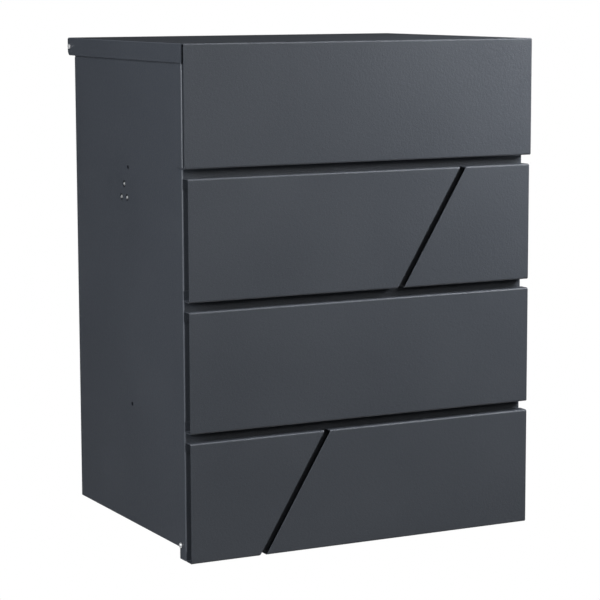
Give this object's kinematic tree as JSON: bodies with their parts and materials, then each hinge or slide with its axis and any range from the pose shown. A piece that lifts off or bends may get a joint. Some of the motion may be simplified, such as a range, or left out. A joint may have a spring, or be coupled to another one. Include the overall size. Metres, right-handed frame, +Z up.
{
  "type": "wall-hung parcel and letter box",
  "caption": "Wall-hung sheet-steel parcel box: rear-hinged cap lid over a drop-down front door with slatted, slit front, cam lock, lid struts and a tilting tray inside.",
  "frame": {"origin": "centre of the upper wall rail's mounting face, on the wall plane", "axes": "+Y into the wall, front of the box towards -Y, +X to the right seen from the front, +Z up"},
  "size_m": [0.4102, 0.32, 0.5245],
  "materials": {
    "powder_coat": "fine-texture anthracite powder coat",
    "bright_zinc": "bright zinc plate",
    "black_zinc": "black zinc or black paint, satin",
    "polished_steel": "bright nickel or polished steel",
    "rubber": "matt black rubber"
  },
  "bodies": {
    "box": {"side_panel_left": "powder_coat", "side_panel_right": "powder_coat", "back_panel": "powder_coat", "bottom_panel": "powder_coat", "front_header": "powder_coat", "wall_rail_lower": "powder_coat", "wall_rail_upper": "powder_coat", "strut_bracket_left": "bright_zinc", "strut_bracket_right": "bright_zinc", "bracket_screw_left_1": "bright_zinc", "bracket_screw_left_2": "bright_zinc", "bracket_screw_left_3": "bright_zinc", "bracket_screw_right_1": "bright_zinc", "bracket_screw_right_2": "bright_zinc", "bracket_screw_right_3": "bright_zinc", "clinch_nut_left_1": "black_zinc", "clinch_nut_left_2": "black_zinc", "clinch_nut_left_3": "black_zinc", "clinch_nut_right_1": "black_zinc", "clinch_nut_right_2": "black_zinc", "clinch_nut_right_3": "black_zinc", "tray_bush_left": "black_zinc", "tray_bush_right": "black_zinc", "lid_bumper_left": "rubber", "lid_bumper_right": "rubber", "lock_body": "polished_steel", "lock_nut": "bright_zinc"},
    "lid": {"lid_shell": "powder_coat", "lid_hinge_pin_left": "polished_steel", "lid_hinge_pin_right": "polished_steel", "lid_lug_left": "bright_zinc", "lid_lug_right": "bright_zinc", "lid_link_pin_left": "bright_zinc", "lid_link_pin_right": "bright_zinc"},
    "door": {"door_plate": "powder_coat", "slat_lower_left": "powder_coat", "slat_lower_right": "powder_coat", "slat_middle": "powder_coat", "slat_upper_left": "powder_coat", "slat_upper_right": "powder_coat", "door_hinge_pin_left": "polished_steel", "door_hinge_pin_right": "polished_steel"},
    "tray": {"tray_panel": "powder_coat", "tray_shaft": "bright_zinc", "tray_crank_left": "bright_zinc", "tray_crank_right": "bright_zinc", "tray_link_pin_left": "bright_zinc", "tray_link_pin_right": "bright_zinc"},
    "lock_core": {"lock_plug": "polished_steel", "lock_cam": "bright_zinc", "lock_cam_screw": "bright_zinc"},
    "link_left": {"tray_link_left": "bright_zinc"},
    "strut_tube_left": {"strut_cylinder_left": "black_zinc"},
    "strut_stem_left": {"strut_rod_left": "polished_steel"},
    "link_right": {"tray_link_right": "bright_zinc"},
    "strut_tube_right": {"strut_cylinder_right": "black_zinc"},
    "strut_stem_right": {"strut_rod_right": "polished_steel"}
  },
  "joints": [
    {"name": "lid_hinge", "type": "hinge", "parent": "box", "child": "lid", "pos_m": [0, -0.0145, 0.085], "axis": [-1, 0, 0], "range_deg": [0, 75]},
    {"name": "door_hinge", "type": "hinge", "parent": "box", "child": "door", "pos_m": [0, -0.2945, -0.4155], "axis": [1, 0, 0], "range_deg": [0, 110]},
    {"name": "lock_turn", "type": "hinge", "parent": "box", "child": "lock_core", "pos_m": [0, -0.296, -0.005], "axis": [0, 1, 0], "range_deg": [0, 90]},
    {"name": "tray_swing", "type": "hinge", "parent": "box", "child": "tray", "pos_m": [0, -0.04, -0.038], "axis": [-1, 0, 0], "range_deg": [0, 75]},
    {"name": "link_pivot_left", "type": "hinge", "parent": "lid", "child": "link_left", "pos_m": [-0.1893, -0.0588, 0.0772], "axis": [-1, 0, 0], "range_deg": [-75, 0]},
    {"name": "strut_tilt_left", "type": "hinge", "parent": "box", "child": "strut_tube_left", "pos_m": [-0.179, -0.1534, -0.0653], "axis": [-1, 0, 0], "range_deg": [-1.48, 0]},
    {"name": "strut_slide_left", "type": "slide", "parent": "strut_tube_left", "child": "strut_stem_left", "axis": [0, 0.5531, 0.8331], "range_m": [0, 0.05455]},
    {"name": "link_pivot_right", "type": "hinge", "parent": "lid", "child": "link_right", "pos_m": [0.1893, -0.0588, 0.0772], "axis": [-1, 0, 0], "range_deg": [-75, 0]},
    {"name": "strut_tilt_right", "type": "hinge", "parent": "box", "child": "strut_tube_right", "pos_m": [0.179, -0.1534, -0.0653], "axis": [-1, 0, 0], "range_deg": [-1.48, 0]},
    {"name": "strut_slide_right", "type": "slide", "parent": "strut_tube_right", "child": "strut_stem_right", "axis": [0, 0.5531, 0.8331], "range_m": [0, 0.05455]}
  ],
  "couplings": [
    {"joint": "tray_swing", "follows": "lid_hinge", "ratio": 1},
    {"joint": "link_pivot_left", "follows": "lid_hinge", "ratio": -1},
    {"joint": "strut_tilt_left", "follows": "lid_hinge", "ratio": -0.019597},
    {"joint": "strut_slide_left", "follows": "lid_hinge", "m_per_rad": 0.041661},
    {"joint": "link_pivot_right", "follows": "lid_hinge", "ratio": -1},
    {"joint": "strut_tilt_right", "follows": "lid_hinge", "ratio": -0.019597},
    {"joint": "strut_slide_right", "follows": "lid_hinge", "m_per_rad": 0.041661}
  ]
}
